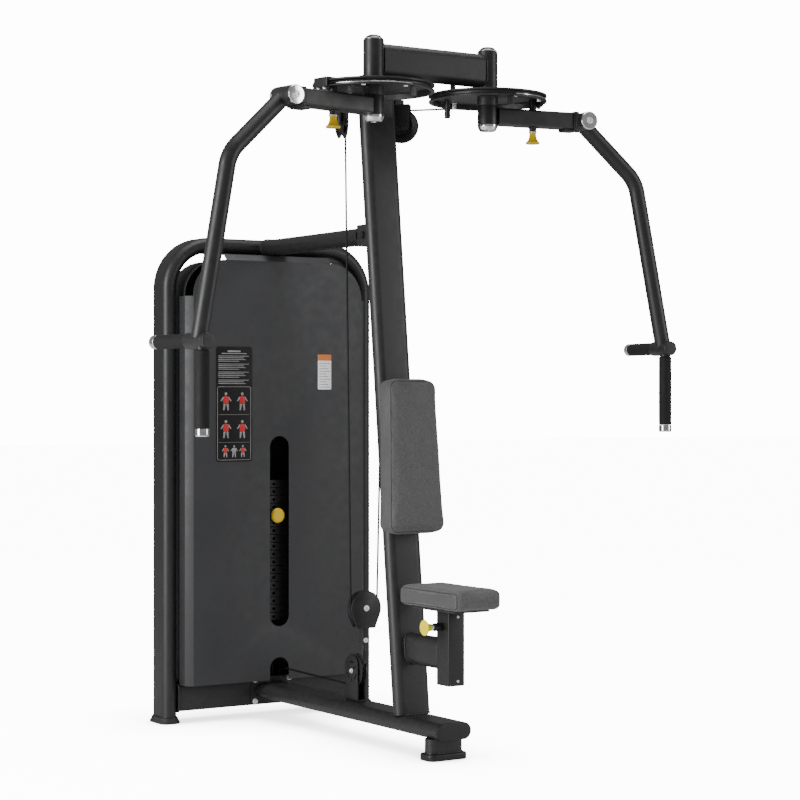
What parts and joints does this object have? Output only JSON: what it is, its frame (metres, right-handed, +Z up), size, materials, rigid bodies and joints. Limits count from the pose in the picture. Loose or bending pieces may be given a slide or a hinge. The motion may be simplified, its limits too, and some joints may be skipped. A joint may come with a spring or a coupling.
{
  "type": "pec fly and rear delt machine",
  "caption": "Selectorised chest fly and rear delt machine: a padded seat and back, two hinged arms on overhead cams, and a cable-driven weight stack in a tower.",
  "frame": {"origin": "on the floor, under the middle of the bounding box", "axes": "+Z up, the user faces -Y, the weight tower stands on the +Y side, +X is to the right seen from the user's front"},
  "size_m": [1.715, 1.321, 2.095],
  "materials": {
    "black_paint": "satin black powder coat",
    "grey_paint": "matt charcoal powder coat",
    "chrome": "polished",
    "plate_steel": "black machined plates",
    "vinyl": "grained grey vinyl",
    "grip_rubber": "matt",
    "yellow_plastic": "glossy",
    "black_nylon": "satin",
    "cable_jacket": "smooth nylon jacket over wire rope"
  },
  "bodies": {
    "root": {"tower_hoop": "black_paint", "tower_foot_left": "grip_rubber", "tower_foot_right": "grip_rubber", "tower_cross_tube": "black_paint", "base_beam": "black_paint", "base_beam_end_cap": "black_paint", "front_foot": "black_paint", "post": "black_paint", "brace_tube": "black_paint", "brace_bracket": "black_paint", "head_beam": "black_paint", "cross_beam": "black_paint", "pivot_shaft_left": "chrome", "pivot_shaft_right": "chrome", "head_pulley_bracket": "black_paint", "floor_pulley_bracket": "black_paint", "base_pulley_bracket": "black_paint", "guide_rod_frame": "black_paint", "lower_plates": "plate_steel", "front_shroud": "grey_paint", "rear_shroud": "grey_paint", "shroud_hook": "black_paint", "back_pad": "vinyl", "back_pad_board": "black_paint", "seat_sleeve": "black_paint", "seat_bracket": "black_paint", "cable_head_left": "cable_jacket", "cable_head_right": "cable_jacket", "cable_arms": "cable_jacket", "cable_link": "cable_jacket", "cable_tower": "cable_jacket", "cable_stack": "cable_jacket"},
    "left_cam": {"cam_left": "black_paint"},
    "right_cam": {"cam_right": "black_paint"},
    "left_arm": {"upper_arm_left": "black_paint", "elbow_pin_left": "chrome"},
    "right_arm": {"upper_arm_right": "black_paint", "elbow_pin_right": "chrome"},
    "left_arm_pin": {"arm_pull_pin_left": "yellow_plastic"},
    "right_arm_pin": {"arm_pull_pin_right": "yellow_plastic"},
    "left_lower_arm": {"lower_arm_left": "black_paint", "fly_grip_left": "grip_rubber", "rear_grip_left": "grip_rubber"},
    "right_lower_arm": {"lower_arm_right": "black_paint", "fly_grip_right": "grip_rubber", "rear_grip_right": "grip_rubber"},
    "left_head_pulley": {"head_pulley_left": "black_nylon"},
    "right_head_pulley": {"head_pulley_right": "black_nylon"},
    "floor_pulley": {"floor_pulley": "black_nylon"},
    "base_pulley": {"base_pulley": "black_nylon"},
    "top_pulley": {"top_pulley": "black_nylon"},
    "floating_block": {"floating_pulley_block": "black_paint"},
    "floating_pulley": {"floating_pulley": "black_nylon"},
    "weight_stack": {"lifted_plates": "plate_steel", "selector_stem": "chrome"},
    "stack_pulley": {"stack_pulley": "black_nylon"},
    "selector_pin": {"selector_pin": "yellow_plastic"},
    "seat": {"seat_tube": "chrome", "seat_pad": "vinyl"},
    "seat_pull_pin": {"seat_pull_pin": "yellow_plastic"}
  },
  "joints": [
    {"name": "left_cam_turn", "type": "hinge", "parent": "root", "child": "left_cam", "pos_m": [-0.2006, -0.411, 1.939], "axis": [0, 0, 1], "range_deg": [0, 95]},
    {"name": "right_cam_turn", "type": "hinge", "parent": "root", "child": "right_cam", "pos_m": [0.2006, -0.411, 1.939], "axis": [0, 0, 1], "range_deg": [-95, 0]},
    {"name": "left_arm_setting", "type": "hinge", "parent": "left_cam", "child": "left_arm", "pos_m": [-0.2006, -0.411, 1.888], "axis": [0, 0, 1], "range_deg": [-72, 0]},
    {"name": "right_arm_setting", "type": "hinge", "parent": "right_cam", "child": "right_arm", "pos_m": [0.2006, -0.411, 1.888], "axis": [0, 0, 1], "range_deg": [0, 72]},
    {"name": "left_arm_pin_pull", "type": "slide", "parent": "left_arm", "child": "left_arm_pin", "axis": [0, 0, -1], "range_m": [0, 0.012], "stiffness_N_per_m": 400, "springref_m": -0.006},
    {"name": "right_arm_pin_pull", "type": "slide", "parent": "right_arm", "child": "right_arm_pin", "axis": [0, 0, -1], "range_m": [0, 0.012], "stiffness_N_per_m": 400, "springref_m": -0.006},
    {"name": "left_elbow", "type": "hinge", "parent": "left_arm", "child": "left_lower_arm", "pos_m": [-0.51777, -0.46044, 1.888], "axis": [-0.154, 0.9881, 0], "range_deg": [0, 25]},
    {"name": "right_elbow", "type": "hinge", "parent": "right_arm", "child": "right_lower_arm", "pos_m": [0.51777, -0.46044, 1.888], "axis": [-0.154, -0.9881, 0], "range_deg": [0, 25]},
    {"name": "left_head_pulley_spin", "type": "hinge", "parent": "root", "child": "left_head_pulley", "pos_m": [-0.108, -0.08, 1.889], "axis": [0.7006, -0.7135, 0], "range_deg": [0, 348]},
    {"name": "right_head_pulley_spin", "type": "hinge", "parent": "root", "child": "right_head_pulley", "pos_m": [0.108, -0.08, 1.889], "axis": [0.7006, 0.7135, 0], "range_deg": [0, 348]},
    {"name": "floor_pulley_spin", "type": "hinge", "parent": "root", "child": "floor_pulley", "pos_m": [0, 0.012, 0.205], "axis": [-1, 0, 0], "range_deg": [0, 348]},
    {"name": "base_pulley_spin", "type": "hinge", "parent": "root", "child": "base_pulley", "pos_m": [0.035, 0.6035, 0.205], "axis": [-1, 0, 0], "range_deg": [0, 348]},
    {"name": "top_pulley_spin", "type": "hinge", "parent": "root", "child": "top_pulley", "pos_m": [0.035, 0.61775, 1.4], "axis": [-1, 0, 0], "range_deg": [0, 498]},
    {"name": "floating_block_rise", "type": "slide", "parent": "root", "child": "floating_block", "axis": [0, 0, 1], "range_m": [0, 0.286], "deforming": ["cable_arms", "cable_link"]},
    {"name": "floating_pulley_spin", "type": "hinge", "parent": "floating_block", "child": "floating_pulley", "pos_m": [0, -0.035, 0.403], "axis": [0, 1, 0], "continuous": true},
    {"name": "weight_stack_rise", "type": "slide", "parent": "root", "child": "weight_stack", "axis": [0, 0, 1], "range_m": [0, 0.144], "deforming": ["cable_stack"]},
    {"name": "stack_pulley_spin", "type": "hinge", "parent": "weight_stack", "child": "stack_pulley", "pos_m": [0, 0.585, 0.905], "axis": [0, -1, 0], "range_deg": [0, 234]},
    {"name": "selector_pin_pull", "type": "slide", "parent": "weight_stack", "child": "selector_pin", "axis": [0, -1, 0], "range_m": [0, 0.13]},
    {"name": "seat_height", "type": "slide", "parent": "root", "child": "seat", "axis": [0, 0, 1], "range_m": [0, 0.12]},
    {"name": "seat_pin_pull", "type": "slide", "parent": "root", "child": "seat_pull_pin", "axis": [-1, 0, 0], "range_m": [0, 0.012], "stiffness_N_per_m": 400, "springref_m": -0.006}
  ],
  "couplings": [
    {"joint": "right_cam_turn", "follows": "left_cam_turn", "ratio": -1},
    {"joint": "left_head_pulley_spin", "follows": "left_cam_turn", "ratio": 3.6447},
    {"joint": "right_head_pulley_spin", "follows": "left_cam_turn", "ratio": 3.6447},
    {"joint": "floor_pulley_spin", "follows": "left_cam_turn", "ratio": 3.6447},
    {"joint": "base_pulley_spin", "follows": "left_cam_turn", "ratio": 3.6447},
    {"joint": "top_pulley_spin", "follows": "left_cam_turn", "ratio": 5.2305},
    {"joint": "floating_block_rise", "follows": "left_cam_turn", "m_per_rad": 0.1713},
    {"joint": "weight_stack_rise", "follows": "left_cam_turn", "m_per_rad": 0.08565},
    {"joint": "stack_pulley_spin", "follows": "left_cam_turn", "ratio": 2.4471}
  ]
}
